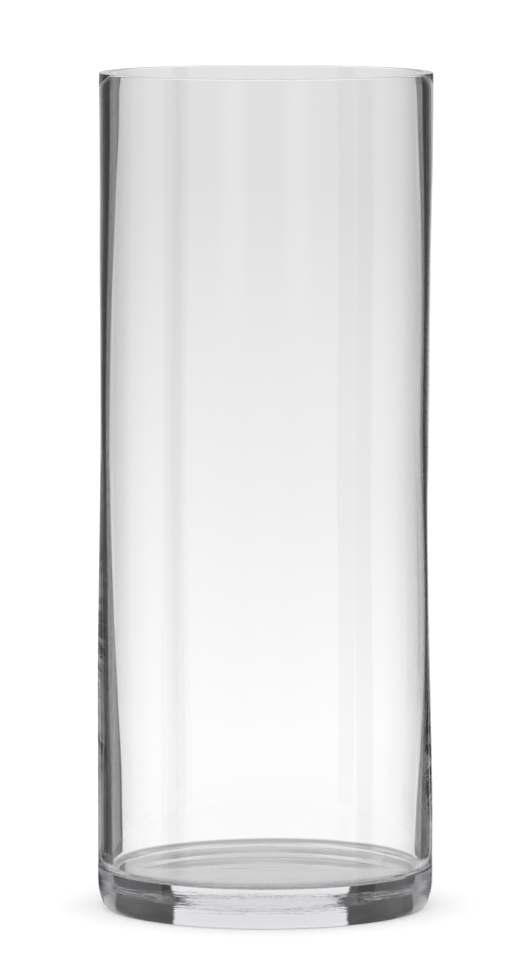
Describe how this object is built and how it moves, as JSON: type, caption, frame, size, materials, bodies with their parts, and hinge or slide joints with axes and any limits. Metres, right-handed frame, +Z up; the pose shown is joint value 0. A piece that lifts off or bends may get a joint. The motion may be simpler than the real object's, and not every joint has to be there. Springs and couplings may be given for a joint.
{
  "type": "glass cylinder vase",
  "caption": "Tall clear glass cylinder vase with a heavy base, a slightly waisted wall and a fire-polished rim.",
  "frame": {"origin": "centre of the circle that the vase stands on, at the level of the standing face", "axes": "+Z up along the vase's axis, towards the mouth; X and Y are any two directions square to it, because the vase is round"},
  "size_m": [0.1208, 0.1208, 0.3],
  "materials": {
    "clear_glass": "clear soda-lime glass, fire-polished, colourless"
  },
  "bodies": {
    "root": {"base": "clear_glass", "wall": "clear_glass", "rim": "clear_glass"}
  },
  "joints": []
}
